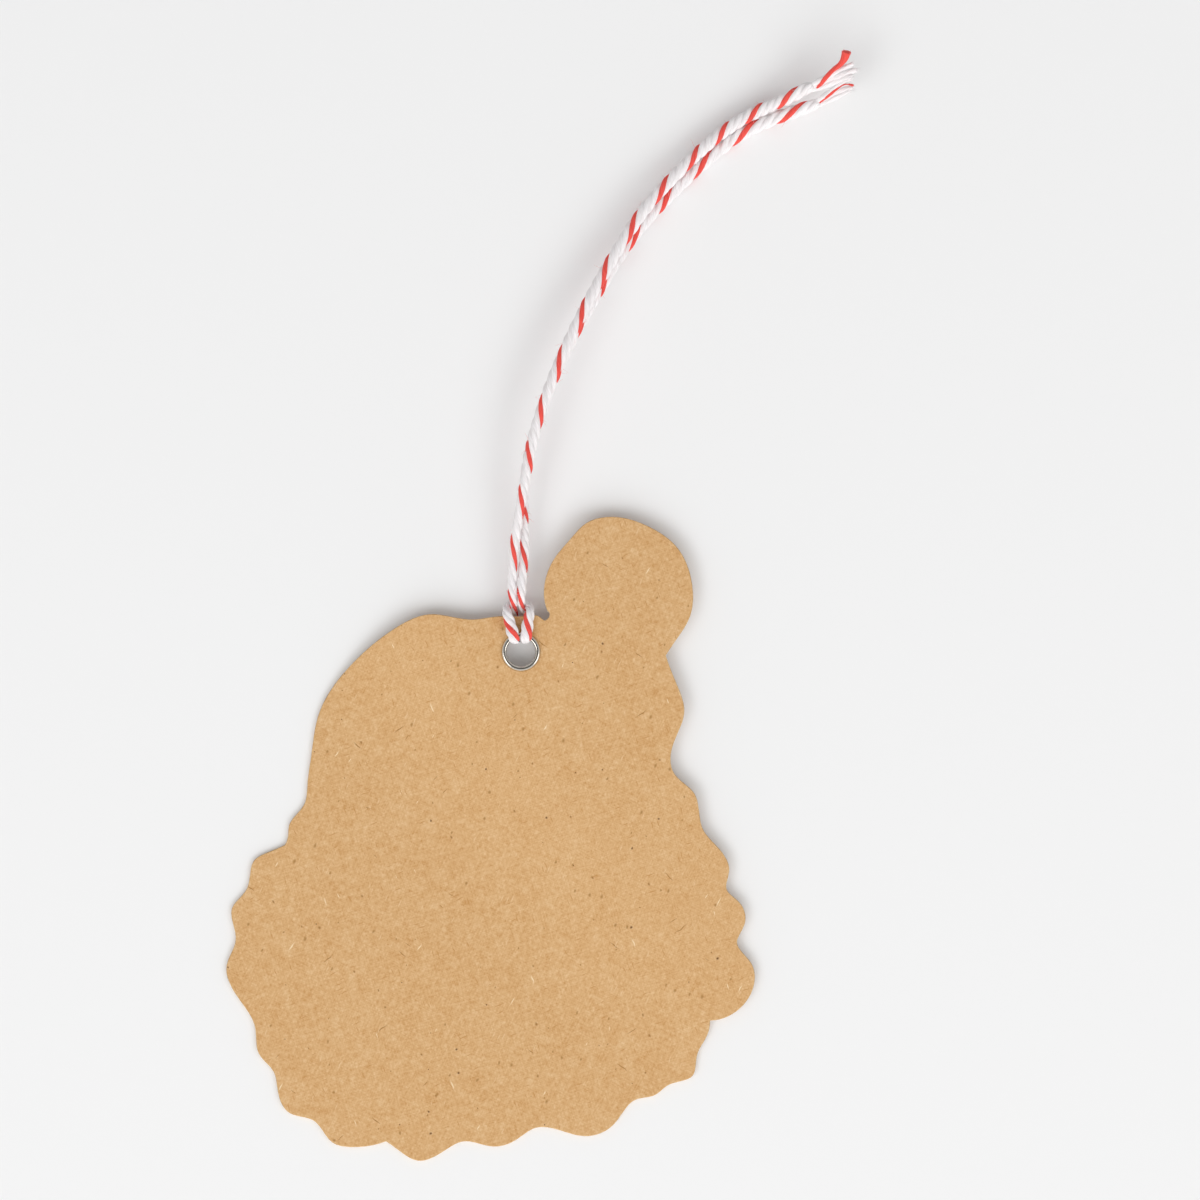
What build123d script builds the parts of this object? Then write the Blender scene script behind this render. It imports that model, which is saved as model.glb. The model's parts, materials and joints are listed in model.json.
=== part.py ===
from build123d import *
from math import atan, cos, radians, sin, sqrt, tan
import os

os.makedirs("parts", exist_ok=True)

# Card, a flat die-cut board
card_width = 58.6
card_height = 71.5
card_thickness = 0.45

# Eyelet, set through the card below the dip in its top edge
eyelet_setback = 3.95
eyelet_bore = 3.2
eyelet_wall = 0.25
eyelet_fit = 0.02
flange_diameter = 4.4
flange_rise = 0.4
roll_diameter = 4.6
roll_depth = 0.45
lip_depth = 0.12

# Twine: relaxed in the tails, drawn tight in the hitch
twine_diameter = 1.4
hitch_diameter = 0.9
twine_gap = 0.1
hitch_lean = 2.5
loop_past_edge = 0.8
leg_past_edge = 0.5
loop_length = 2.2
leg_rise_run = 1.3
leg_end_run = 1.0
leg_end_spread = 0.7
leg_end_climb = 0.15
lip_bend_radius = 0.9
tail_hinge_gap = 0.25
tail_start_climb = 0.1

# Four loose yarns at each cut end of the twine
yarn_diameter = 0.6
yarn_end_diameter = 0.36
tip_length = 4.6
tip_slice = 0.4
tip_splay = 10

# Outline of the card, clockwise from the notch beside the bobble,
# as hundredths of the card's width and height
bobble = [
    (60.75, 85.5), (60.3, 86.7), (60.5, 90.6), (62.4, 93.9), (65.3, 96.7), (67.9, 98.9), (73.6, 100.0),
    (80.2, 98.4), (85.2, 95.4), (88.2, 89.4), (87.8, 84.6), (84.8, 80.5), (83.2, 78.5),
]
right_side = [
    (83.2, 78.5), (85.0, 74.6), (86.7, 69.7), (84.2, 63.5), (84.8, 60.2), (88.6, 57.1), (90.1, 51.8),
    (93.3, 48.5), (95.2, 45.0), (94.7, 42.3), (97.1, 40.2), (98.1, 36.7), (96.7, 34.0), (99.4, 30.7),
    (99.8, 27.0), (95.8, 22.8), (91.6, 21.8),
]
lower_edge = [
    (91.6, 21.8), (90.7, 18.9), (89.2, 16.6), (88.3, 13.2), (83.6, 11.7), (81.2, 10.2), (77.6, 9.5),
    (73.2, 5.5), (67.9, 3.8), (62.8, 4.8), (58.6, 5.1), (54.8, 3.2), (50.3, 2.2), (45.0, 3.0),
    (40.6, 1.2), (36.2, 0.0), (32.6, 1.6), (30.2, 3.0),
]
left_side = [
    (30.2, 3.0), (23.9, 2.1), (19.9, 2.9), (16.5, 6.2), (11.9, 7.4), (9.7, 10.7), (8.9, 13.8),
    (6.1, 16.6), (5.4, 20.6), (1.9, 25.6), (0.0, 30.4), (1.7, 34.3), (1.0, 39.2), (3.8, 42.2),
    (5.1, 46.5), (8.5, 48.1), (11.0, 49.0),
]
cap = [
    (11.0, 49.0), (11.6, 50.3), (11.8, 52.0), (14.6, 55.2), (15.3, 58.5), (16.0, 62.8), (17.3, 69.0),
    (23.7, 77.1), (32.1, 82.8), (38.5, 84.9), (46.5, 84.1), (51.8, 84.6), (55.8, 84.6), (58.6, 84.75),
    (59.5, 84.42), (60.2, 83.97), (60.95, 84.3), (60.75, 85.5),
]
eyelet_edge_point = (55.8, 84.6)

# Route of the two tails from the hitch: across and up from the point between their starts,
# height over the surface, and how far the left tail has rolled on top of the right one, in degrees
tail_route = [
    (0.0, 3.65, 2.65, 30),
    (0.35, 7.3, 2.8, 56),
    (0.9, 10.95, 2.95, 72),
    (1.7, 14.75, 3.05, 75),
    (2.8, 18.65, 3.0, 75),
    (4.45, 23.1, 2.8, 74),
    (6.55, 27.65, 2.45, 70),
    (9.0, 32.2, 1.95, 62),
    (11.6, 36.5, 1.5, 54),
    (14.45, 40.5, 1.2, 35),
]
# Route of each tail past the point where they part
left_end_route = [
    (17.0, 44.4, 1.05),
    (20.0, 47.4, 0.85),
    (23.0, 49.95, 0.8),
    (26.45, 52.05, 1.1),
    (29.8, 53.35, 1.9),
    (32.55, 54.75, 3.1),
]
right_end_route = [
    (18.3, 43.4, 0.75),
    (21.55, 46.3, 0.75),
    (25.35, 49.25, 0.85),
    (29.55, 51.2, 1.35),
    (33.45, 52.6, 2.15),
]


def on_card(points):
    return [((across / 100 - 0.5) * card_width, (up / 100 - 0.5) * card_height) for across, up in points]


# The largest arc that fits each corner of a cord's route
def bend_radii(points):
    radii = []
    for before, corner, after in zip(points, points[1:], points[2:]):
        run_in = corner - before
        run_out = after - corner
        half_turn = run_in.get_angle(run_out) / 2
        radii.append(0.45 * min(run_in.length, run_out.length) / tan(radians(half_turn)))
    return radii


hitch_radius = hitch_diameter / 2
tail_radius = twine_diameter / 2
bore_radius = eyelet_bore / 2
barrel_radius = bore_radius + eyelet_wall
flange_radius = flange_diameter / 2
roll_radius = roll_diameter / 2

# The card leans on the twine that runs under it, with its lowest scallop on the surface
edge_x, edge_y = on_card([eyelet_edge_point])[0]
eyelet_x = edge_x
eyelet_y = edge_y - eyelet_setback
strand_u = (hitch_diameter + twine_gap) / 2
strand_v = sqrt((bore_radius - twine_gap - hitch_radius) ** 2 - strand_u**2)
under_card = roll_depth + twine_gap + hitch_diameter
card_tilt = atan(under_card / (card_height / 2 + eyelet_y + strand_v))

card_plane = Plane(
    origin=(0, 0, card_height / 2 * sin(card_tilt)),
    x_dir=(1, 0, 0),
    z_dir=(0, -sin(card_tilt), cos(card_tilt)),
)
eyelet_plane = Plane(
    origin=card_plane.from_local_coords((eyelet_x, eyelet_y, 0)),
    x_dir=card_plane.x_dir,
    z_dir=card_plane.z_dir,
)
hitch_plane = Plane(
    origin=eyelet_plane.origin,
    x_dir=eyelet_plane.x_dir * cos(radians(hitch_lean)) + eyelet_plane.y_dir * sin(radians(hitch_lean)),
    z_dir=eyelet_plane.z_dir,
)

with BuildPart() as card:
    with BuildSketch(card_plane) as card_face:
        with BuildLine() as card_outline:
            Spline(*on_card(bobble))
            Spline(*on_card(right_side))
            Spline(*on_card(lower_edge))
            Spline(*on_card(left_side))
            Spline(*on_card(cap))
        make_face()
        with Locations((eyelet_x, eyelet_y)):
            Circle(barrel_radius + eyelet_fit, mode=Mode.SUBTRACT)
    extrude(amount=card_thickness)
card.part.label = "tag_card"
export_step(card.part, "parts/tag_card.step")

# Eyelet: a domed flange on the front, a plain barrel and a rolled edge on the back
eyelet_section = Plane(
    origin=eyelet_plane.origin,
    x_dir=eyelet_plane.x_dir,
    z_dir=-eyelet_plane.y_dir,
)
flange_crest = card_thickness + flange_rise
with BuildPart() as eyelet:
    with BuildSketch(eyelet_section) as eyelet_profile:
        with BuildLine() as eyelet_line:
            Line((bore_radius, -lip_depth), (bore_radius, card_thickness + lip_depth))
            ThreePointArc(
                (bore_radius, card_thickness + lip_depth),
                ((bore_radius + flange_radius) / 2, flange_crest),
                (flange_radius, card_thickness + eyelet_fit),
            )
            Line((flange_radius, card_thickness + eyelet_fit), (barrel_radius, card_thickness + eyelet_fit))
            Line((barrel_radius, card_thickness + eyelet_fit), (barrel_radius, -eyelet_fit))
            Line((barrel_radius, -eyelet_fit), (roll_radius, -eyelet_fit))
            ThreePointArc(
                (roll_radius, -eyelet_fit),
                ((bore_radius + roll_radius) / 2, -roll_depth),
                (bore_radius, -lip_depth),
            )
        make_face()
    revolve(axis=Axis(eyelet_plane.origin, eyelet_plane.z_dir))
eyelet.part.label = "eyelet"
export_step(eyelet.part, "parts/eyelet.step")

# Hitch: the doubled twine comes up through the eyelet, its loop goes over the card's edge,
# and both legs come from behind the card up through the loop
front_level = card_thickness + flange_rise + twine_gap + hitch_radius
back_level = -(roll_depth + twine_gap + hitch_radius)
edge_level = card_thickness + hitch_diameter
loop_u = strand_u + hitch_diameter + twine_gap
loop_turn_v = eyelet_setback + loop_past_edge
loop_end_v = eyelet_setback + loop_length
loop_end_level = back_level + 0.25 * hitch_diameter
leg_dive_v = eyelet_setback + leg_past_edge
leg_top_v = leg_dive_v + leg_rise_run
leg_top_level = card_thickness + 0.25 * hitch_diameter
leg_end_v = leg_top_v + leg_end_run
leg_end_level = leg_top_level + leg_end_climb

right_leg = [
    (strand_u, strand_v, front_level),
    (strand_u, strand_v, back_level),
    (strand_u, leg_dive_v, back_level),
    (strand_u, leg_top_v, leg_top_level),
    (leg_end_spread, leg_end_v, leg_end_level),
]
left_leg = [(-u, v, w) for u, v, w in reversed(right_leg)]
loop = [
    (-loop_u, loop_turn_v, edge_level),
    (-loop_u, loop_end_v, loop_end_level),
    (loop_u, loop_end_v, loop_end_level),
    (loop_u, loop_turn_v, edge_level),
]
hitch_points = [hitch_plane.from_local_coords(Vector(*p)) for p in left_leg + loop + right_leg]
hitch_radii = bend_radii(hitch_points)
for corner in (2, 3, 8, 9):
    hitch_radii[corner] = lip_bend_radius
with BuildPart() as hitch:
    with BuildLine() as hitch_path:
        FilletPolyline(*hitch_points, radius=hitch_radii)
    with BuildSketch(Plane(origin=hitch_path.line @ 0, z_dir=hitch_path.line % 0)) as hitch_section:
        Circle(hitch_radius)
    sweep(path=hitch_path.line)
    with Locations(hitch_path.line @ 0, hitch_path.line @ 1):
        Sphere(hitch_radius)
hitch.part.label = "twine_hitch"
export_step(hitch.part, "parts/twine_hitch.step")

# Tails: each starts as a round end just past its leg, so that the pair can fold up there
start_reach = hitch_radius + tail_hinge_gap + tail_radius
start_u = (twine_diameter + twine_gap) / 2
start_v = leg_end_v + start_reach
start_level = leg_end_level + tail_start_climb
left_start = hitch_plane.from_local_coords(Vector(-start_u, start_v, start_level))
right_start = hitch_plane.from_local_coords(Vector(start_u, start_v, start_level))
tails_start = (left_start + right_start) / 2

route_middle = [tails_start + Vector(x, y, 0) for x, y, z, roll in tail_route]
left_points = [left_start]
right_points = [right_start]
for i, (x, y, z, roll) in enumerate(tail_route):
    before = route_middle[max(i - 1, 0)]
    after = route_middle[min(i + 1, len(route_middle) - 1)]
    ahead = (after - before).normalized()
    across = Vector(ahead.Y, -ahead.X, 0) * start_u * cos(radians(roll))
    up = Vector(0, 0, 1) * start_u * sin(radians(roll))
    middle = Vector(tails_start.X + x, tails_start.Y + y, z)
    left_points.append(middle - across + up)
    right_points.append(middle + across - up)
left_points += [Vector(tails_start.X + x, tails_start.Y + y, z) for x, y, z in left_end_route]
right_points += [Vector(tails_start.X + x, tails_start.Y + y, z) for x, y, z in right_end_route]
left_radii = bend_radii(left_points)
right_radii = bend_radii(right_points)

with BuildPart() as left_tail:
    with BuildLine() as left_path:
        FilletPolyline(*left_points, radius=left_radii)
    with BuildSketch(Plane(origin=left_path.line @ 0, z_dir=left_path.line % 0)) as left_section:
        Circle(tail_radius)
    sweep(path=left_path.line)
    with Locations(left_path.line @ 0):
        Sphere(tail_radius)
left_tail.part.label = "left_tail"
export_step(left_tail.part, "parts/left_tail.step")

with BuildPart() as right_tail:
    with BuildLine() as right_path:
        FilletPolyline(*right_points, radius=right_radii)
    with BuildSketch(Plane(origin=right_path.line @ 0, z_dir=right_path.line % 0)) as right_section:
        Circle(tail_radius)
    sweep(path=right_path.line)
    with Locations(right_path.line @ 0):
        Sphere(tail_radius)
right_tail.part.label = "right_tail"
export_step(right_tail.part, "parts/right_tail.step")

# Frayed ends: a slice of the twine with its four yarns standing apart
yarn_circle = tail_radius - yarn_diameter / 2
yarn_root = tip_slice / 2
left_tip_plane = Plane(origin=left_path.line @ 1, z_dir=left_path.line % 1)
right_tip_plane = Plane(origin=right_path.line @ 1, z_dir=right_path.line % 1)

with BuildPart() as left_tip:
    with BuildSketch(left_tip_plane) as left_slice:
        Circle(tail_radius)
    extrude(amount=tip_slice)
    with Locations(left_tip_plane.offset(yarn_root)):
        with PolarLocations(yarn_circle, 4):
            Cone(
                yarn_diameter / 2,
                yarn_end_diameter / 2,
                tip_length - yarn_root,
                rotation=(0, tip_splay, 0),
                align=(Align.CENTER, Align.CENTER, Align.MIN),
            )
left_tip.part.label = "left_tip"
export_step(left_tip.part, "parts/left_tip.step")

with BuildPart() as right_tip:
    with BuildSketch(right_tip_plane) as right_slice:
        Circle(tail_radius)
    extrude(amount=tip_slice)
    with Locations(right_tip_plane.offset(yarn_root)):
        with PolarLocations(yarn_circle, 4):
            Cone(
                yarn_diameter / 2,
                yarn_end_diameter / 2,
                tip_length - yarn_root,
                rotation=(0, tip_splay, 0),
                align=(Align.CENTER, Align.CENTER, Align.MIN),
            )
right_tip.part.label = "right_tip"
export_step(right_tip.part, "parts/right_tip.step")

print("hitch bend radii", [round(r, 2) for r in hitch_radii])
print("left tail bend radii", [round(r, 1) for r in left_radii])
print("right tail bend radii", [round(r, 1) for r in right_radii])
print("hitch length", round(hitch_path.wire().length, 1))
print("left tail length", round(left_path.wire().length, 1))
print("right tail length", round(right_path.wire().length, 1))
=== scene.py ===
import bmesh
import bpy
import json
import math
import numpy as np
import random
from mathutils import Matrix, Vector


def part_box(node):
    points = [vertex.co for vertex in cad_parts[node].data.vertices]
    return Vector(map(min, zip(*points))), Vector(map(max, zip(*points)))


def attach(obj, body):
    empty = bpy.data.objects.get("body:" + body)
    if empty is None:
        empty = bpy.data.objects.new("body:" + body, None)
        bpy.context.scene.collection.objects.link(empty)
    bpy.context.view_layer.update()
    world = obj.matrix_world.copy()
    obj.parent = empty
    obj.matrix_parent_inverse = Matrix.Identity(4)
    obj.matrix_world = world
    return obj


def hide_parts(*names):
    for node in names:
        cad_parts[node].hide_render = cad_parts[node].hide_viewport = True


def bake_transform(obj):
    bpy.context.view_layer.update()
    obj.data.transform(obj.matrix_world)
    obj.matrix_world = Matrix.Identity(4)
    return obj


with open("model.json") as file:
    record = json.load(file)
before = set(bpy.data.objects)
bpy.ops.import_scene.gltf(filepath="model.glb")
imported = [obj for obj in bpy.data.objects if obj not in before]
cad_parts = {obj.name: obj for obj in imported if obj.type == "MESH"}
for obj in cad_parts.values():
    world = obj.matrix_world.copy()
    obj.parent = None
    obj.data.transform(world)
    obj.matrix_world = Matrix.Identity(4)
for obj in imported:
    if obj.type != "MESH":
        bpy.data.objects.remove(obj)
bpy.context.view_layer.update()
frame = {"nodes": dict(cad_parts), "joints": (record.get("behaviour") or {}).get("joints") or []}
scene = bpy.context.scene
scene.view_settings.view_transform = "Standard"
mm = 0.001
print("frame loaded", len(frame["nodes"]), "nodes")


# sRGB hex to the linear colour that shaders and lamps take
def linear(hexCode):
    channels = [int(hexCode[i:i + 2], 16) / 255 for i in (1, 3, 5)]
    return [c / 12.92 if c <= 0.04045 else ((c + 0.055) / 1.055) ** 2.4 for c in channels] + [1.0]


# One node with its settings; an input is a value or the socket that feeds it
def addNode(tree, kind, settings=None, inputs=None):
    node = tree.nodes.new(kind)
    for name, value in (settings or {}).items():
        setattr(node, name, value)
    for name, value in (inputs or {}).items():
        if isinstance(value, bpy.types.NodeSocket):
            tree.links.new(value, node.inputs[name])
        else:
            node.inputs[name].default_value = value
    return node


# Colours along a ramp, as places from 0 to 1 and hex values
def addRamp(tree, value, stops):
    ramp = addNode(tree, "ShaderNodeValToRGB", inputs={"Fac": value})
    elements = ramp.color_ramp.elements
    while len(elements) < len(stops):
        elements.new(1.0)
    for element, (spot, hexCode) in zip(elements, stops):
        element.position = spot
        element.color = linear(hexCode)
    return ramp.outputs["Color"]


def addMath(tree, operation, first, second):
    return addNode(tree, "ShaderNodeMath", {"operation": operation}, {0: first, 1: second}).outputs[0]


def objectPlace(tree):
    return addNode(tree, "ShaderNodeTexCoord").outputs["Object"]


# Places counted in cells of a size, turned about Z by degrees
def cellPlace(tree, place, size, turn=0):
    cells = addNode(tree, "ShaderNodeMapping", {"vector_type": "TEXTURE"}, {
        "Vector": place, "Rotation": (0, 0, math.radians(turn)), "Scale": size,
    })
    return cells.outputs["Vector"]


# Noise with its grain in the unit of the place that it is read at
def addNoise(tree, place, grain, detail, roughness=0.5):
    return addNode(tree, "ShaderNodeTexNoise", inputs={
        "Vector": place, "Scale": 1 / grain, "Detail": detail, "Roughness": roughness,
    }).outputs


# Fine relief on a shader, with its depth in mm
def addRelief(tree, shader, height, strength, depth):
    bump = addNode(tree, "ShaderNodeBump", inputs={
        "Height": height, "Strength": strength, "Distance": depth * mm,
    })
    tree.links.new(bump.outputs["Normal"], shader.inputs["Normal"])


def newMaterial(name):
    material = bpy.data.materials.new(name)
    material.use_nodes = True
    tree = material.node_tree
    return material, tree, tree.nodes["Principled BSDF"]


def newPiece(name, bm, materials):
    mesh = bpy.data.meshes.new(name)
    bm.to_mesh(mesh)
    bm.free()
    for material in materials:
        mesh.materials.append(material)
    piece = bpy.data.objects.new(name, mesh)
    scene.collection.objects.link(piece)
    return piece


# Camera straight above, as the eyelet shows as a true circle
cameraSet = {
    "height": 750,            # mm over the floor
    "aim": (12.156, 26.517),  # mm, middle of the picture
    "across": 133.333,        # mm of floor across the picture
    "sensor": 36,
}
cameraData = bpy.data.cameras.new("tagCamera")
cameraData.sensor_width = cameraSet["sensor"]
cameraData.lens = cameraSet["sensor"] * cameraSet["height"] / cameraSet["across"]
camera = bpy.data.objects.new("tagCamera", cameraData)
camera.location = Vector((*cameraSet["aim"], cameraSet["height"])) * mm
scene.collection.objects.link(camera)
scene.camera = camera

# Soft studio light: a softbox on each side and a broad one in front
lampSet = {
    "target": (5, 20, 0),    # mm
    "distance": 1500,        # mm
    "colour": "#FFFFFF",
    # the way towards each lamp, its share of a full white light on the floor, and its size in mm
    "lamps": {
        "left": ((-0.73, -0.5, 1.0), 0.14, 800),
        "right": ((1.0, -0.5, 1.0), 0.11, 800),
        "front": ((0.0, -0.9, 1.0), 0.39, 1800),
    },
    "unmirrored": ("front",),   # kept out of the metal, which mirrors the side lamps alone
}
for lampName, (lampWay, share, lampSize) in lampSet["lamps"].items():
    way = Vector(lampWay).normalized()
    lampData = bpy.data.lights.new(lampName + "Lamp", "AREA")
    lampData.shape = "DISK"
    lampData.size = lampSize * mm
    lampData.energy = share * (math.pi * lampSet["distance"] * mm) ** 2 / way.z
    lampData.color = linear(lampSet["colour"])[:3]
    lamp = bpy.data.objects.new(lampName + "Lamp", lampData)
    lamp.location = (Vector(lampSet["target"]) + way * lampSet["distance"]) * mm
    lamp.rotation_euler = way.to_track_quat("Z", "Y").to_euler()
    lamp.visible_glossy = lampName not in lampSet["unmirrored"]
    scene.collection.objects.link(lamp)

# Room light by height: a pale backdrop, bright walls, darker straight overhead where the camera hangs,
# and stronger from the front than from the back
worldSet = {
    "ramp": [(0.0, "#F2F2F2"), (0.12, "#F2F2F2"), (0.3, "#C8C8C8"), (0.8, "#C8C8C8"), (0.97, "#4A4A4A")],
    "front": 1.3, "back": 0.7,
}
world = bpy.data.worlds.new("studioRoom")
world.use_nodes = True
scene.world = world
tree = world.node_tree
background = tree.nodes["Background"]
direction = addNode(tree, "ShaderNodeTexCoord").outputs["Generated"]
axes = addNode(tree, "ShaderNodeSeparateXYZ", inputs={"Vector": direction}).outputs
roomStrength = addNode(tree, "ShaderNodeMapRange", inputs={
    "Value": axes["Y"], "From Min": -1.0, "To Min": worldSet["front"], "To Max": worldSet["back"],
})
tree.links.new(addRamp(tree, axes["Z"], worldSet["ramp"]), background.inputs["Color"])
tree.links.new(roomStrength.outputs[0], background.inputs["Strength"])

# Floor: matt white acrylic with a faint tooth; it glows a little of itself, painted light that keeps shadows
# pale
floorSet = {
    "reach": 1500, "drop": 0.03,   # mm from its middle to each side, and below the tag
    "colour": "#F2F2F2", "paintedGlow": 0.08,
    "tooth": 0.25,                 # mm
    "relief": (0.05, 0.02),        # strength, and depth in mm
}
mattAcrylic, tree, shader = newMaterial("mattAcrylic")
lit = linear(floorSet["colour"])
# painted light: part of the floor's white is a glow of its own, no lamp, which keeps every shadow on it pale
shader.inputs["Base Color"].default_value = [c * (1 - floorSet["paintedGlow"]) for c in lit[:3]] + [1.0]
shader.inputs["Emission Color"].default_value = lit
shader.inputs["Emission Strength"].default_value = floorSet["paintedGlow"]
shader.inputs["Roughness"].default_value = 0.9
shader.inputs["Specular IOR Level"].default_value = 0.2
tooth = addNoise(tree, objectPlace(tree), floorSet["tooth"] * mm, 2.0)["Fac"]
addRelief(tree, shader, tooth, *floorSet["relief"])
bm = bmesh.new()
bmesh.ops.create_grid(bm, x_segments=1, y_segments=1, size=floorSet["reach"] * mm)
bmesh.ops.translate(bm, verts=bm.verts, vec=(0, 0, -floorSet["drop"] * mm))
floor = newPiece("acrylicFloor", bm, [mattAcrylic])
print("camera, lamps and floor set")

# The eyelet's middle on the card's underside, and the ways across, along and up from it
joints = {joint["name"]: joint for joint in frame["joints"]}
eyeletMiddle = Vector(joints["hitch_swing"]["pos_m"])
upWay = Vector(joints["hitch_swing"]["axis"]).normalized()
acrossWay = Vector(joints["tails_lift"]["axis"]).normalized()
alongWay = upWay.cross(acrossWay)


def fromEyelet(across, along, up):
    return eyeletMiddle + (acrossWay * across + alongWay * along + upWay * up) * mm


# Kraft board: unbleached pulp, matt, mottled by its short fibres, with bark specks and stray fibres
kraftSet = {
    "shades": [(0.33, "#C39056"), (0.5, "#D5AA77"), (0.67, "#E4C295")],
    "cloud": 6, "cloudShare": 0.35,    # mm, and weight beside each set of fibres
    "fibre": (1.2, 0.15),              # mm long and wide, a few fibres together
    "fibreTurns": (15, 62, 104, 151),  # degrees
    "wobble": 0.35, "ripple": 0.9,     # mm, how far the marks bend aside, and over what length
    # colour, cell length and width in mm, turn, share of cells that hold a mark, its radius in cells
    "marks": [
        ("#6B4727", (3.2, 3.2), 0, 0.12, 0.065),
        ("#AE824D", (2.6, 1.7), 75, 0.15, 0.13),
        ("#A37643", (1.9, 2.6), 20, 0.08, 0.1),
        ("#A5763F", (11.0, 0.9), 38, 0.05, 0.1),
        ("#A5763F", (9.0, 0.9), 142, 0.05, 0.1),
        ("#F0D9B2", (8.0, 1.1), 110, 0.06, 0.1),
        ("#F0D9B2", (7.0, 1.1), 60, 0.05, 0.1),
        ("#C39057", (5.2, 0.6), 22, 0.2, 0.14),
        ("#C39057", (4.6, 0.6), 112, 0.2, 0.14),
        ("#E2C196", (4.8, 0.6), 68, 0.15, 0.13),
    ],
    "smallest": 0.3, "core": 0.2,      # shares of a mark's radius: the least mark, and its full colour
    "relief": (0.5, 0.05),             # strength, and depth in mm
    "cutEdge": [(0.35, "#C29A68"), (0.65, "#DDBC8E")],
    "ply": (0.54, 0.54, 0.09),         # mm, layers of pulp in the cut edge
    "edgeRelief": (0.6, 0.04),
}
kraftBoard, tree, shader = newMaterial("kraftBoard")
place = objectPlace(tree)
cloud = addNoise(tree, place, kraftSet["cloud"] * mm, 2.0)["Fac"]
mottle = addMath(tree, "MULTIPLY", cloud, kraftSet["cloudShare"])
fibreLength, fibreWidth = kraftSet["fibre"]
for fibreTurn in kraftSet["fibreTurns"]:
    grain = cellPlace(tree, place, (fibreLength * mm, fibreWidth * mm, fibreLength * mm), fibreTurn)
    mottle = addMath(tree, "ADD", mottle, addNoise(tree, grain, 1.0, 1.5)["Fac"])
mottle = addMath(tree, "DIVIDE", mottle, kraftSet["cloudShare"] + len(kraftSet["fibreTurns"]))
colour = addRamp(tree, mottle, kraftSet["shades"])
ripple = addNoise(tree, place, kraftSet["ripple"] * mm, 1.0)["Color"]
wobbled = addNode(tree, "ShaderNodeVectorMath", {"operation": "MULTIPLY_ADD"}, {
    0: ripple, 1: [kraftSet["wobble"] * mm] * 3, 2: place,
}).outputs[0]
for markHex, (cellLength, cellWidth), markTurn, markShare, markRadius in kraftSet["marks"]:
    cells = cellPlace(tree, wobbled, (cellLength * mm, cellWidth * mm, mm), markTurn)
    spots = addNode(tree, "ShaderNodeTexVoronoi", {"voronoi_dimensions": "2D"}, {
        "Vector": cells, "Scale": 1.0,
    }).outputs
    chance = addNode(tree, "ShaderNodeSeparateColor", inputs={"Color": spots["Color"]}).outputs
    chosen = addMath(tree, "GREATER_THAN", chance["Red"], 1 - markShare)
    radius = addNode(tree, "ShaderNodeMapRange", inputs={
        "Value": chance["Green"], "To Min": kraftSet["smallest"] * markRadius, "To Max": markRadius,
    }).outputs[0]
    near = addNode(tree, "ShaderNodeMapRange", inputs={
        "Value": spots["Distance"], "From Min": kraftSet["core"] * markRadius, "From Max": radius,
        "To Min": 1.0, "To Max": 0.0,
    }).outputs[0]
    # sockets 6 and 7 are the two colours that are mixed
    colour = addNode(tree, "ShaderNodeMix", {"data_type": "RGBA"}, {
        "Factor": addMath(tree, "MULTIPLY", chosen, near), 6: colour, 7: linear(markHex),
    }).outputs[2]
tree.links.new(colour, shader.inputs["Base Color"])
addRelief(tree, shader, mottle, *kraftSet["relief"])
shader.inputs["Roughness"].default_value = 0.86
shader.inputs["Specular IOR Level"].default_value = 0.25

# Cut edge of the board: torn fibres in thin layers, paler than the calendered faces
kraftCutEdge, tree, shader = newMaterial("kraftCutEdge")
layers = cellPlace(tree, objectPlace(tree), [length * mm for length in kraftSet["ply"]])
plies = addNoise(tree, layers, 1.0, 2.0)["Fac"]
tree.links.new(addRamp(tree, plies, kraftSet["cutEdge"]), shader.inputs["Base Color"])
addRelief(tree, shader, plies, *kraftSet["edgeRelief"])
shader.inputs["Roughness"].default_value = 0.95
shader.inputs["Specular IOR Level"].default_value = 0.15

# Card: the board with a softened die-cut rim, held up by the twine under it: it settles on the floor
# away from the hitch and droops a little towards its bobble
cardSet = {
    "weld": 0.001,                       # mm, points this close become one
    "flat": 1, "sharp": 60,              # degrees: edges that are dissolved, and edges of the rim
    "upright": 0.99,                     # faces that look up or down by more than this are uncut board
    "rim": 0.08, "rimSteps": 3,          # mm
    "patch": 3.0,                        # mm, faces small enough to bend
    "curlWay": (0.62, 0.78),
    "curlStart": 2.0, "curl": -0.0012,   # mm past the eyelet, and mm for each square mm
    "settleWay": (0.8, 0.6),
    "settleStart": 2.5, "settle": 20.0,  # mm before the eyelet, and mm until it lies flat
}
bm = bmesh.new()
bm.from_mesh(frame["nodes"]["tag_card"].data)
bmesh.ops.remove_doubles(bm, verts=bm.verts, dist=cardSet["weld"] * mm)
bmesh.ops.dissolve_limit(
    bm, angle_limit=math.radians(cardSet["flat"]), verts=bm.verts, edges=bm.edges,
)
rim = [edge for edge in bm.edges if edge.calc_face_angle(0) > math.radians(cardSet["sharp"])]
bmesh.ops.bevel(
    bm, geom=rim, offset=cardSet["rim"] * mm, offset_type="OFFSET", segments=cardSet["rimSteps"],
    profile=0.5, affect="EDGES", material=-1, clamp_overlap=False,
)
for face in bm.faces:
    face.smooth = True
    face.material_index = 0 if abs(face.normal.dot(upWay)) > cardSet["upright"] else 1
for edge in bm.edges:
    edge.smooth = edge.link_faces[0].material_index == edge.link_faces[1].material_index
cardLow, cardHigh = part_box("tag_card")
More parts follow.
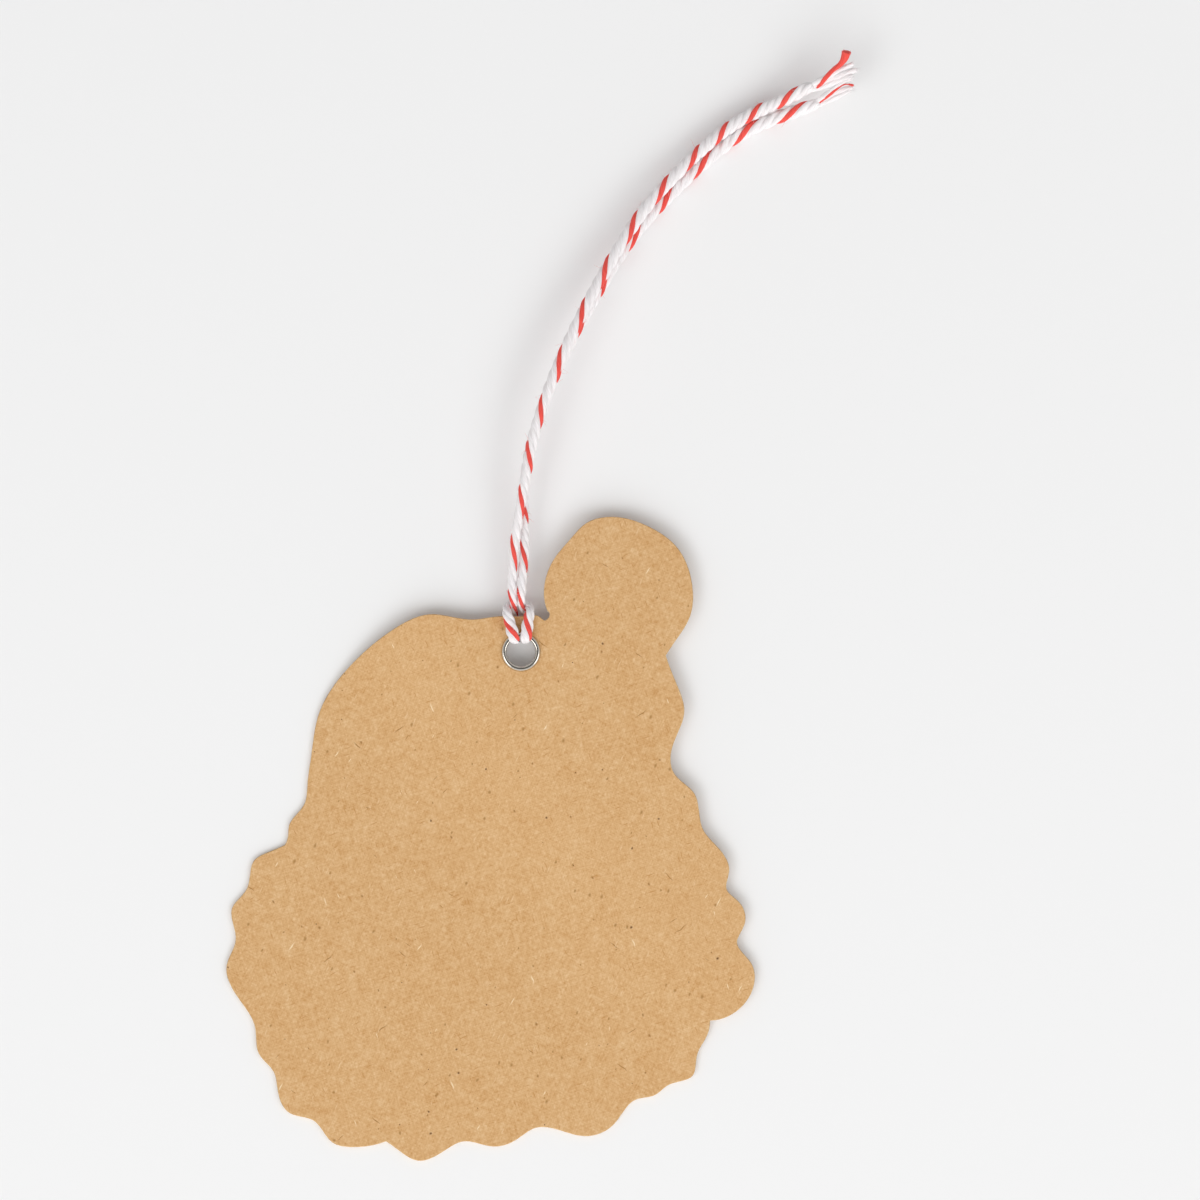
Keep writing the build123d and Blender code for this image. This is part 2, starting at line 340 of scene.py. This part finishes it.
for axis in (0, 1):
    steps = math.ceil((cardHigh[axis] - cardLow[axis]) / (cardSet["patch"] * mm))
    for step in range(1, steps):
        cut = [0, 0, 0]
        cut[axis] = cardLow[axis] + (cardHigh[axis] - cardLow[axis]) * step / steps
        normal = [0, 0, 0]
        normal[axis] = 1
        bmesh.ops.bisect_plane(
            bm, geom=bm.verts[:] + bm.edges[:] + bm.faces[:], dist=cardSet["weld"] * mm,
            plane_co=cut, plane_no=normal,
        )
for vertex in bm.verts:
    fromHole = vertex.co - eyeletMiddle
    ahead = Vector(cardSet["curlWay"]).dot(fromHole.xy) / mm
    behind = -Vector(cardSet["settleWay"]).dot(fromHole.xy) / mm
    curl = cardSet["curl"] * max(ahead - cardSet["curlStart"], 0) ** 2 * mm
    settled = min(max((behind - cardSet["settleStart"]) / cardSet["settle"], 0), 1)
    lift = eyeletMiddle.z - upWay.xy.dot(fromHole.xy) / upWay.z   # the flat board's height here
    vertex.co += upWay * (curl - lift * settled * settled * (3 - 2 * settled))
kraftCard = newPiece("kraftCard", bm, [kraftBoard, kraftCutEdge])
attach(kraftCard, "card")
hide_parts("tag_card")
print("card has", len(kraftCard.data.polygons), "faces")

# Nickel plate on pressed brass: bright, with a faint waviness left by the press
eyeletSet = {
    # half of the section: out from the eyelet's middle and up from the card's underside, in mm
    "section": [
        (1.6, -0.1), (1.6, 0.55), (1.615, 0.66), (1.66, 0.76), (1.73, 0.825), (1.82, 0.85), (1.92, 0.845),
        (2.02, 0.8), (2.1, 0.72), (2.16, 0.62), (2.19, 0.53), (2.2, 0.475), (2.17, 0.465), (2.0, 0.465),
        (1.87, 0.465), (1.85, 0.43), (1.85, 0.0), (1.87, -0.02), (2.05, -0.025), (2.22, -0.06), (2.28, -0.14),
        (2.27, -0.24), (2.2, -0.34), (2.08, -0.42), (1.95, -0.45), (1.82, -0.42), (1.71, -0.34),
        (1.64, -0.23), (1.605, -0.12),
    ],
    "steps": 96,
    "weld": 0.0005,           # mm, points this close become one
    "colour": "#D6D0C6",
    "ripple": 0.5,            # mm
    "roughness": (0.1, 0.2),
    "relief": (0.15, 0.02),   # strength, and depth in mm
}
nickelPlate, tree, shader = newMaterial("nickelPlate")
ripple = addNoise(tree, objectPlace(tree), eyeletSet["ripple"] * mm, 2.0)["Fac"]
smoothest, roughest = eyeletSet["roughness"]
gloss = addNode(tree, "ShaderNodeMapRange", inputs={
    "Value": ripple, "To Min": smoothest, "To Max": roughest,
})
tree.links.new(gloss.outputs[0], shader.inputs["Roughness"])
addRelief(tree, shader, ripple, *eyeletSet["relief"])
shader.inputs["Base Color"].default_value = linear(eyeletSet["colour"])
shader.inputs["Metallic"].default_value = 1.0
bm = bmesh.new()
section = [bm.verts.new(fromEyelet(out, 0, up)) for out, up in eyeletSet["section"]]
for low, high in zip(section, section[1:] + section[:1]):
    bm.edges.new((low, high))
bmesh.ops.spin(
    bm, geom=bm.verts[:] + bm.edges[:], cent=eyeletMiddle, axis=upWay, angle=2 * math.pi,
    steps=eyeletSet["steps"], use_merge=True,
)
bmesh.ops.remove_doubles(bm, verts=bm.verts, dist=eyeletSet["weld"] * mm)
bmesh.ops.recalc_face_normals(bm, faces=bm.faces)
for face in bm.faces:
    face.smooth = True
nickelEyelet = newPiece("nickelEyelet", bm, [nickelPlate])
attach(nickelEyelet, "card")
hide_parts("eyelet")
print("eyelet has", len(nickelEyelet.data.polygons), "faces")

# Cotton yarn, loosely spun and matt: fine fibres show as streaks along each yarn
yarnSet = {
    "white": ("#F4F1F2", "#E6DFDF"),
    "red": ("#F0584E", "#D5433B"),
    "darkest": 0.3, "lightest": 0.62,   # places in the noise that take the two colours
    "fibre": (0.16, 0.16, 1.8),   # mm, a few fibres together, coarser than one fibre so that they show
    "relief": (0.6, 0.08),        # strength, and depth in mm
}
yarnMaterials = {}
for yarnName in ("white", "red"):
    material, tree, shader = newMaterial(yarnName + "CottonYarn")
    light, dark = yarnSet[yarnName]
    fibre = addNode(tree, "ShaderNodeAttribute", {"attribute_name": "fibre"}).outputs["Vector"]
    streaks = addNoise(tree, cellPlace(tree, fibre, yarnSet["fibre"]), 1.0, 3.0, roughness=0.6)["Fac"]
    shade = addRamp(tree, streaks, [(yarnSet["darkest"], dark), (yarnSet["lightest"], light)])
    tree.links.new(shade, shader.inputs["Base Color"])
    addRelief(tree, shader, streaks, *yarnSet["relief"])
    shader.inputs["Roughness"].default_value = 0.92
    shader.inputs["IOR"].default_value = 1.53
    shader.inputs["Specular IOR Level"].default_value = 0.15
    shader.inputs["Sheen Weight"].default_value = 0.15
    shader.inputs["Sheen Roughness"].default_value = 0.6
    yarnMaterials[yarnName] = material
yarnSlots = [yarnMaterials["white"], yarnMaterials["red"]]

# Twine: one length from the left end, through the hitch, to the right end, in mm
twineSet = {
    # the hitch from the closed end of its loop: across, along and up from the eyelet
    "closedEnd": (-0.1, 5.4, -0.85),
    "leftLoop": [
        (-1.05, 5.2, -0.5), (-1.45, 4.85, 0.35), (-1.35, 4.35, 1.08), (-1.08, 3.3, 1.15), (-0.82, 2.2, 1.34),
        (-0.66, 1.4, 1.34), (-0.52, 1.1, 0.5), (-0.52, 1.1, -0.3), (-0.55, 1.5, -0.95), (-0.6, 2.6, -1.0),
        (-0.66, 4.05, -0.98), (-0.54, 4.8, -0.42), (-0.56, 5.55, 0.55), (-0.66, 6.6, 0.98),
    ],
    "rightLoop": [
        (0.85, 5.2, -0.5), (1.25, 4.85, 0.35), (1.15, 4.35, 1.08), (0.92, 3.3, 1.15), (0.74, 2.2, 1.34),
        (0.66, 1.4, 1.34), (0.52, 1.1, 0.5), (0.52, 1.1, -0.3), (0.55, 1.5, -0.95), (0.56, 2.6, -1.0),
        (0.5, 4.05, -0.98), (0.3, 4.8, -0.42), (0.28, 5.55, 0.55), (0.34, 6.6, 0.98),
    ],
    "leftTail": [
        (2.38, 28.97, 2.6), (2.7, 32.72, 3.1), (3.27, 36.36, 3.7), (3.96, 40.0, 4.2),
        (4.65, 43.8, 4.6), (5.69, 47.72, 4.8), (7.4, 52.19, 4.75), (9.45, 56.78, 4.45),
        (11.85, 61.4, 3.95), (14.36, 65.77, 3.35), (17.06, 69.85, 2.75), (20.17, 73.27, 2.25),
        (23.17, 76.26, 1.8), (26.18, 78.77, 1.65), (29.64, 80.76, 1.85), (32.99, 82.01, 2.6),
        (35.72, 83.48, 3.8),
    ],
    "rightTail": [
        (3.54, 29.02, 2.6), (3.87, 32.58, 2.4), (3.64, 36.24, 2.5), (3.8, 39.9, 2.8),
        (4.47, 43.7, 3.2), (5.67, 47.58, 3.4), (7.42, 52.01, 3.35), (9.6, 56.55, 3.05),
        (12.18, 61.09, 2.55), (14.73, 65.4, 1.95), (17.74, 69.25, 1.4), (21.06, 72.59, 1.0),
        (24.25, 75.6, 0.8), (28.13, 78.56, 1.05), (32.5, 80.25, 1.9), (36.49, 81.6, 2.85),
    ],
    # along the twine from the loop's closed end, width and thickness: pressed flat in the hitch
    "girth": [
        (0, 1.0, 0.95), (1.0, 0.98, 0.92), (1.9, 0.92, 0.85), (2.8, 1.1, 0.85), (3.8, 1.3, 0.8),
        (5.0, 1.42, 0.74), (5.7, 1.25, 0.6), (6.6, 0.96, 0.52), (7.4, 0.96, 0.52), (8.1, 1.05, 0.8),
        (9.2, 1.15, 0.92), (10.6, 1.1, 0.92), (11.5, 0.88, 0.88), (12.7, 0.9, 0.95), (13.8, 1.08, 1.06),
        (15.3, 1.1, 1.08), (20, 1.12, 1.12), (30, 1.2, 1.2), (45, 1.3, 1.3), (55, 1.38, 1.38),
        (65, 1.45, 1.45), (80, 1.5, 1.5), (84, 1.5, 1.5),
    ],
    # places along the twine where its red yarn is uppermost, minus to the left end
    "redUp": [
        -85.5, -80.0, -76.05, -71.85, -67.8, -62.7, -57.28, -51.33, -46.03, -39.98, -34.35, -29.03,
        -24.3, -18.35, -12.25, -4.78, 4.19, 12.62, 17.89, 23.3, 28.85, 34.04, 39.66, 45.27, 50.2, 56.9,
        61.74, 67.48, 73.3, 79.07, 84.8,
    ],
    "lay": 5.5,          # mm for one turn
    "evenStep": 0.1, "evenSteps": 27,    # mm, and steps over which the turn is evened out
    "yarnColumns": (10, 11, 11, 11),     # the red yarn first, drawn tighter than the white ones
    "yarnHeights": (0.97, 1.0, 1.0, 1.0),
    "valley": 0.7,       # depth of the grooves between yarns, as a share of the twine's radius
    "tailStart": 13.3,   # mm along the twine from the closed end
    "acrossLeast": 0.3,  # below this share, the twine runs across and its width lies to its side
    "fibreSlant": 0.55,  # fibres lean back against the lay
    "fibreRadius": 0.8,  # mm
    "drawIn": 1.5, "drawnShare": 0.45,   # mm before each end where it narrows, and to what share
    "unevenness": 0.06, "swellLengths": (3.1, 4.7, 7.3),   # share of a yarn's height, and mm
    "lean": 0.1, "leanLengths": (5.9, 8.3),                # radians to either side, and mm
    "seed": 11,
}


# The points of a smooth line through a route's control points
def routeLine(name, points):
    curve = bpy.data.curves.new(name, "CURVE")
    curve.dimensions = "3D"
    spline = curve.splines.new("NURBS")
    spline.points.add(len(points) - 1)
    for knot, point in zip(spline.points, points):
        knot.co = (*point, 1)
    spline.order_u = 3
    spline.use_endpoint_u = True
    spline.resolution_u = 24
    holder = bpy.data.objects.new(name, curve)
    scene.collection.objects.link(holder)
    mesh = bpy.data.meshes.new_from_object(holder)
    line = np.array([vertex.co[:] for vertex in mesh.vertices])
    bpy.data.objects.remove(holder)
    bpy.data.curves.remove(curve)
    bpy.data.meshes.remove(mesh)
    return line


# Ways ahead, to the side and over the side along a line, without twist
def lineWays(line):
    ahead = np.gradient(line, axis=0)
    ahead /= np.linalg.norm(ahead, axis=1)[:, None]
    side = np.cross(ahead, (0, 0, 1.0))
    side[0] /= np.linalg.norm(side[0])
    for i in range(1, len(line)):
        carried = side[i - 1] - ahead[i] * (side[i - 1] @ ahead[i])
        side[i] = carried / np.linalg.norm(carried)
    return ahead, side, np.cross(ahead, side)


# Distance along a line, in mm
def lineReach(line):
    steps = np.linalg.norm(np.diff(line, axis=0), axis=1)
    return np.concatenate([[0], np.cumsum(steps)]) / mm


# Ways out from a line at each turn about it
def spokes(turns, side, over):
    return np.cos(turns)[..., None] * side[:, None] + np.sin(turns)[..., None] * over[:, None]


# Each vertex's place on its yarn in mm, which carries the streaks of its fibres
def yarnPlace(slant, along, radius):
    lengthwise = np.repeat(along[:, None], slant.shape[1], 1)
    return np.stack([np.cos(slant) * radius, np.sin(slant) * radius, lengthwise], axis=2)


# A closed tube of rings of vertices, with each column's material and each vertex's place on its yarn
def addTube(bm, rings, fibre, columnSlots):
    layer = bm.verts.layers.float_vector["fibre"]
    grid = []
    for ring, ringFibre in zip(rings, fibre):
        row = [bm.verts.new(point) for point in ring]
        for vertex, value in zip(row, ringFibre):
            vertex[layer] = value
        grid.append(row)
    count = len(columnSlots)
    for low, high in zip(grid, grid[1:]):
        for j in range(count):
            k = (j + 1) % count
            face = bm.faces.new((low[j], low[k], high[k], high[j]))
            face.material_index = columnSlots[j]
            face.smooth = True
    for cap in (grid[0][::-1], grid[-1]):
        face = bm.faces.new(cap)
        face.material_index = columnSlots[-1]


hairSet = {"rings": 5, "sides": 3, "thinning": 0.7}   # share of its thickness lost by the tip


# A loose fibre: a thin three-sided tube that bends one way and thins towards its tip
def addHair(bm, root, way, bend, length, thickness, slot):
    sides = hairSet["sides"]
    share = np.linspace(0, 1, hairSet["rings"])[:, None]
    path = np.array(root) + length * mm * (share * way + share**2 * bend)
    path[:, 2] = np.maximum(path[:, 2], 0)   # none goes through the floor
    ahead, side, over = lineWays(path)
    corners = spokes(np.arange(sides) * 2 * math.pi / sides, side, over)
    rings = path[:, None] + corners * (1 - hairSet["thinning"] * share[:, None]) * thickness / 2 * mm
    fibre = np.repeat((path / mm)[:, None], sides, axis=1)
    addTube(bm, rings, fibre, [slot] * sides)


# A random way in which a loose fibre bends
def randomBend(rng, most):
    return np.array([rng.uniform(-most, most) for axis in range(3)])


# A slow random swell along the twine
def swell(reach, rng, lengths):
    total = np.zeros_like(reach)
    for length in lengths:
        total += np.sin(2 * math.pi * (reach / length + rng.random()))
    return total / len(lengths)


rng = random.Random(twineSet["seed"])
points = [Vector(p) * mm for p in reversed(twineSet["leftTail"])]
points += [fromEyelet(*p) for p in reversed(twineSet["leftLoop"])]
points += [fromEyelet(*twineSet["closedEnd"])]
points += [fromEyelet(*p) for p in twineSet["rightLoop"]]
points += [Vector(p) * mm for p in twineSet["rightTail"]]
line = routeLine("twineLine", points)
ahead, side, over = lineWays(line)
middle = np.argmin(np.linalg.norm(line - np.array(fromEyelet(*twineSet["closedEnd"])), axis=1))
reach = lineReach(line)
reach -= reach[middle]
print("twine runs from", round(reach[0], 1), "to", round(reach[-1], 1), "mm")

# Turn of the red yarn about the line: uppermost at each mark, by whole turns near the twine's lay
upTurn = np.arctan2(over[:, 2], side[:, 2])
marks = []
for i, spot in enumerate(twineSet["redUp"]):
    facing = upTurn[np.argmin(abs(reach - spot))]
    if marks:
        gap = spot - twineSet["redUp"][i - 1]
        expected = marks[-1] - 2 * math.pi * gap / twineSet["lay"]
        facing += 2 * math.pi * round((expected - facing) / (2 * math.pi))
    marks.append(facing)
even = np.arange(reach[0], reach[-1], twineSet["evenStep"])
window = np.hanning(twineSet["evenSteps"])
evenTurn = np.interp(even, twineSet["redUp"], marks)
evenTurn = np.pad(evenTurn, len(window) // 2, mode="reflect", reflect_type="odd")
evenTurn = np.convolve(evenTurn, window / window.sum(), "valid")
turn = np.interp(reach, even, evenTurn)

# Width and thickness along the twine, and the ways in which they lie
girthAt, girthWide, girthThick = np.array(twineSet["girth"]).T
wide = np.interp(abs(reach), girthAt, girthWide)
thick = np.interp(abs(reach), girthAt, girthThick)
toEnd = np.minimum(reach - reach[0], reach[-1] - reach) / twineSet["drawIn"]
drawn = 1 - (1 - twineSet["drawnShare"]) * np.maximum(1 - toEnd, 0) ** 2
wide *= drawn
thick *= drawn
broad = np.array(acrossWay) - ahead * (ahead @ np.array(acrossWay))[:, None]
crossing = np.linalg.norm(broad, axis=1) < twineSet["acrossLeast"]
broad[crossing] = side[crossing]
broad /= np.linalg.norm(broad, axis=1)[:, None]
deep = np.cross(ahead, broad)

# Four round yarns side by side make each section, a little uneven from place to place
yarnColumns = np.array(twineSet["yarnColumns"])
columns = int(yarnColumns.sum())
yarnOf = np.repeat(np.arange(len(yarnColumns)), yarnColumns)
yarnStart = np.cumsum(yarnColumns) - yarnColumns
angle = (np.arange(columns) - yarnColumns[0] / 2) / columns * 2 * math.pi
bulge = np.sin((np.arange(columns) - yarnStart[yarnOf]) / yarnColumns[yarnOf] * math.pi)
swells = np.array([swell(reach, rng, twineSet["swellLengths"]) for yarn in yarnColumns]).T
leans = np.array([swell(reach, rng, twineSet["leanLengths"]) for yarn in yarnColumns]).T
size = twineSet["valley"] + (np.array(twineSet["yarnHeights"])[yarnOf] - twineSet["valley"]) * bulge
size = size * (1 + twineSet["unevenness"] * swells[:, yarnOf] * bulge**2)
swing = turn[:, None] + angle + twineSet["lean"] * leans[:, yarnOf] * bulge**2
offset = size[:, :, None] * spokes(swing, side, over)
rings = line[:, None] + mm / 2 * (
    wide[:, None, None] * (offset * broad[:, None]).sum(2)[:, :, None] * broad[:, None]
    + thick[:, None, None] * (offset * deep[:, None]).sum(2)[:, :, None] * deep[:, None]
)
slant = angle + twineSet["fibreSlant"] * 2 * math.pi * reach[:, None] / twineSet["lay"]
fibre = yarnPlace(slant, reach, twineSet["fibreRadius"])
columnSlots = [1 if yarn == 0 else 0 for yarn in yarnOf]

tailStart = twineSet["tailStart"]
leftSeam = np.argmin(abs(reach + tailStart))
rightSeam = np.argmin(abs(reach - tailStart))
stretches = {
    "leftTwine": slice(0, leftSeam + 1),
    "hitchTwine": slice(leftSeam, rightSeam + 1),
    "rightTwine": slice(rightSeam, len(line)),
}
# Loose fibres that stand off the twine, drawn thicker than a real one, which is too fine to show
fuzzSet = {
    "hairs": {"leftTwine": 260, "hitchTwine": 50, "rightTwine": 260},
    "length": (0.3, 0.9), "thickness": 0.028,   # mm
    "stand": (0.3, 0.9), "lean": 0.9, "bend": 0.5,   # shares of its length: outwards, along, and bent
    "seed": 23,
}
fuzzRng = random.Random(fuzzSet["seed"])
twinePieces = {}
for pieceName, stretch in stretches.items():
    bm = bmesh.new()
    bm.verts.layers.float_vector.new("fibre")
    addTube(bm, rings[stretch], fibre[stretch], columnSlots)
    for hair in range(fuzzSet["hairs"][pieceName]):
        i = fuzzRng.randrange(stretch.start, stretch.stop)
        j = fuzzRng.randrange(columns)
        out = rings[i, j] - line[i]
        outwards = out / np.linalg.norm(out) * fuzzRng.uniform(*fuzzSet["stand"])
        way = outwards + ahead[i] * fuzzRng.uniform(-fuzzSet["lean"], fuzzSet["lean"])
        bend = randomBend(fuzzRng, fuzzSet["bend"])
        hairLength = fuzzRng.uniform(*fuzzSet["length"])
        addHair(bm, rings[i, j], way, bend, hairLength, fuzzSet["thickness"], columnSlots[j])
    twinePieces[pieceName] = newPiece(pieceName, bm, yarnSlots)
print("twine made of", len(line), "rings")

hitchTwine = twinePieces["hitchTwine"]
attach(hitchTwine, "hitch")
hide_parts("twine_hitch")
# The tails keep the place they were built at, instead of the frame's tails
for pieceName, node in (("leftTwine", "left_tail"), ("rightTwine", "right_tail")):
    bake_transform(twinePieces[pieceName])
    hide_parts(node)

# Frayed ends: each yarn's route in mm, its thickness along it, and how many loose fibres its cut end
# has, with their shortest and longest
fraySet = {
    "leftRed": [
        ([(35.2, 82.75, 3.0), (35.9, 82.95, 3.35), (36.36, 83.32, 3.95), (36.85, 83.95, 4.4),
          (37.35, 84.47, 4.8), (37.93, 85.08, 5.05), (38.51, 85.48, 5.3), (38.92, 85.92, 5.5),
          (39.21, 86.41, 5.7), (39.35, 86.82, 5.85), (39.4, 87.05, 5.95)],
         (0.3, 0.2, 0.36, 0.46, 0.5, 0.5, 0.5, 0.56, 0.68, 0.9, 1.1), 40, (0.1, 0.3)),
    ],
    "leftWhite": [
        ([(35.0, 83.25, 3.55), (36.35, 83.8, 4.0), (37.6, 84.6, 4.45), (38.9, 85.2, 4.8),
          (40.2, 85.75, 5.1)], (0.4, 0.7, 0.68, 0.6, 0.5), 26, (0.3, 0.8)),
        ([(35.05, 83.05, 3.3), (36.45, 83.55, 3.65), (38.0, 84.2, 4.1), (39.5, 84.8, 4.6),
          (40.6, 85.1, 4.95)], (0.4, 0.72, 0.7, 0.62, 0.54), 26, (0.3, 0.8)),
        ([(35.15, 82.8, 3.3), (36.5, 83.2, 3.6), (38.0, 83.75, 4.0), (39.2, 84.2, 4.4),
          (40.1, 84.45, 4.7)], (0.4, 0.7, 0.66, 0.58, 0.48), 24, (0.3, 0.8)),
    ],
    "rightRed": [
        ([(35.7, 81.1, 2.4), (36.22, 81.48, 2.85), (36.9, 81.96, 3.2), (37.72, 82.61, 3.55),
          (38.56, 83.18, 3.85), (39.06, 83.46, 4.1), (39.56, 83.51, 4.2), (40.0, 83.42, 4.25),
          (40.2, 83.36, 4.3)],
         (0.2, 0.3, 0.4, 0.44, 0.38, 0.28, 0.18, 0.12, 0.34), 10, (0.1, 0.3)),
    ],
    "rightWhite": [
        ([(35.8, 81.5, 2.8), (37.0, 82.2, 3.15), (38.2, 83.15, 3.6), (39.2, 83.85, 3.95),
          (40.0, 84.2, 4.2)], (0.4, 0.7, 0.66, 0.56, 0.46), 24, (0.3, 0.8)),
        ([(35.9, 81.35, 2.55), (37.1, 81.95, 2.85), (38.3, 82.65, 3.25), (39.4, 83.1, 3.65),
          (40.1, 83.2, 3.95)], (0.4, 0.7, 0.64, 0.54, 0.44), 24, (0.3, 0.8)),
        ([(35.9, 81.15, 2.6), (37.1, 81.65, 2.85), (38.3, 82.15, 3.2), (39.3, 82.6, 3.5),
          (39.9, 82.9, 3.7)], (0.4, 0.68, 0.6, 0.48, 0.38), 20, (0.3, 0.8)),
    ],
    "columns": 12,
    "dome": 0.2, "tip": 0.02,                   # mm over which each end rounds off, and what is left
    "lobes": 3, "lobeHeight": 0.1, "lobeTwist": 2.2,    # share of its radius, and radians for each mm
    "fibreTwist": 1.1, "fibreRadius": 0.5,      # radians for each mm, and mm
    "brushPart": 4,                             # loose fibres start in the last one of so many parts
    "brushSpread": 0.35, "brushBend": 0.3, "thickness": 0.045,    # sideways shares, mm thick
    "seed": 31,
}
frayRng = random.Random(fraySet["seed"])


# One yarn on its own: round, a little lobed by its twist, ending in a brush of fibres
def addYarn(bm, route, girths, brushCount, brushLength):
    yarnLine = routeLine("yarnLine", [Vector(point) * mm for point in route])
    ahead, side, over = lineWays(yarnLine)
    along = lineReach(yarnLine)
    girth = np.interp(along / along[-1], np.linspace(0, 1, len(girths)), girths)
    toEnd = np.minimum((along[-1] - along) / fraySet["dome"], 1)
    girth *= np.sqrt(np.maximum(1 - (1 - toEnd) ** 2, fraySet["tip"]))
    around = np.arange(fraySet["columns"]) * 2 * math.pi / fraySet["columns"]
    lobeTurn = fraySet["lobes"] * around + fraySet["lobeTwist"] * along[:, None]
    lobes = 1 + fraySet["lobeHeight"] * np.cos(lobeTurn)
    rim = spokes(around, side, over)
    rings = yarnLine[:, None] + rim * (lobes * girth[:, None] / 2 * mm)[:, :, None]
    slant = around + fraySet["fibreTwist"] * along[:, None]
    addTube(bm, rings, yarnPlace(slant, along, fraySet["fibreRadius"]), [0] * len(around))
    for hair in range(brushCount):
        j = frayRng.randrange(len(around))
        inner = frayRng.random() ** 0.5   # evenly over the section
        i = len(yarnLine) - 1 - frayRng.randrange(1, len(yarnLine) // fraySet["brushPart"])
        root = yarnLine[i] + (rings[i, j] - yarnLine[i]) * inner
        way = ahead[i] + fraySet["brushSpread"] * inner * rim[i, j]
        bend = randomBend(frayRng, fraySet["brushBend"])
        addHair(bm, root, way, bend, frayRng.uniform(*brushLength), fraySet["thickness"], 0)


for end in ("left", "right"):
    for yarnName, slotName in (("White", "cotton_twine"), ("Red", "red_yarn")):
        bm = bmesh.new()
        bm.verts.layers.float_vector.new("fibre")
        for yarn in fraySet[end + yarnName]:
            addYarn(bm, *yarn)
        piece = newPiece(end + yarnName + "Fray", bm, [yarnMaterials[yarnName.lower()]])
        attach(piece, "tails")
    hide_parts(end + "_tip")
